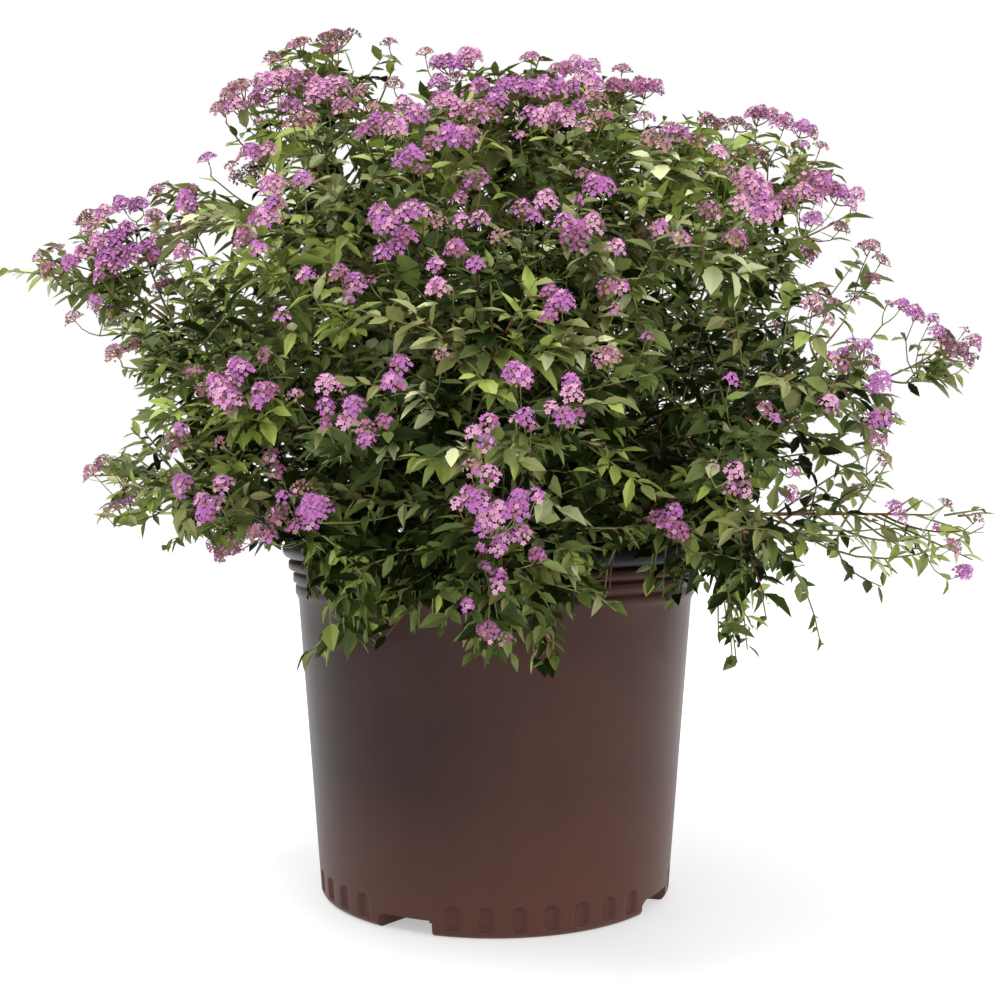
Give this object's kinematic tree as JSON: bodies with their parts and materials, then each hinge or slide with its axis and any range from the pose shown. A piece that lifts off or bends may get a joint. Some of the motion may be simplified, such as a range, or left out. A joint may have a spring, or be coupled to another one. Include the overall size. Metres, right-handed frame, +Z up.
{
  "type": "potted flowering shrub",
  "caption": "Leafy shrub in a round nursery pot: thin canes fan out from one root crown into a wide dome of small leaves with flat pink flower heads.",
  "frame": {"origin": "centre of the pot's flat underside, on the surface it stands on", "axes": "+Z up along the pot's axis, +X to the shrub's right as seen from its front, -Y towards its front"},
  "size_m": [0.6446, 0.5626, 0.5579],
  "materials": {
    "pot": "satin",
    "potting_mix": "matte",
    "bark": "matte",
    "foliage": "matte"
  },
  "bodies": {
    "root": {"pot": "pot", "potting_mix": "potting_mix", "root_crown": "bark", "cane_top_right": "bark", "foliage_top_right": "foliage", "cane_top_back": "bark", "foliage_top_back": "foliage", "cane_top_left": "bark", "foliage_top_left": "foliage", "cane_top_front": "bark", "foliage_top_front": "foliage", "cane_upper_right": "bark", "foliage_upper_right": "foliage", "cane_upper_back_right": "bark", "foliage_upper_back_right": "foliage", "cane_upper_back_left": "bark", "foliage_upper_back_left": "foliage", "cane_upper_left": "bark", "foliage_upper_left": "foliage", "cane_upper_front_left": "bark", "foliage_upper_front_left": "foliage", "cane_upper_front_right": "bark", "foliage_upper_front_right": "foliage", "cane_middle_right": "bark", "foliage_middle_right": "foliage", "cane_middle_back_right": "bark", "foliage_middle_back_right": "foliage", "cane_middle_back": "bark", "foliage_middle_back": "foliage", "cane_middle_back_left": "bark", "foliage_middle_back_left": "foliage", "cane_middle_left": "bark", "foliage_middle_left": "foliage", "cane_middle_front_left": "bark", "foliage_middle_front_left": "foliage", "cane_middle_front": "bark", "foliage_middle_front": "foliage", "cane_middle_front_right": "bark", "foliage_middle_front_right": "foliage", "cane_skirt_right": "bark", "foliage_skirt_right": "foliage", "cane_skirt_back_right": "bark", "foliage_skirt_back_right": "foliage", "cane_skirt_back": "bark", "foliage_skirt_back": "foliage", "cane_skirt_back_left": "bark", "foliage_skirt_back_left": "foliage", "cane_skirt_left": "bark", "foliage_skirt_left": "foliage", "cane_skirt_front_left": "bark", "foliage_skirt_front_left": "foliage", "cane_skirt_front": "bark", "foliage_skirt_front": "foliage", "cane_skirt_front_right": "bark", "foliage_skirt_front_right": "foliage"}
  },
  "joints": []
}
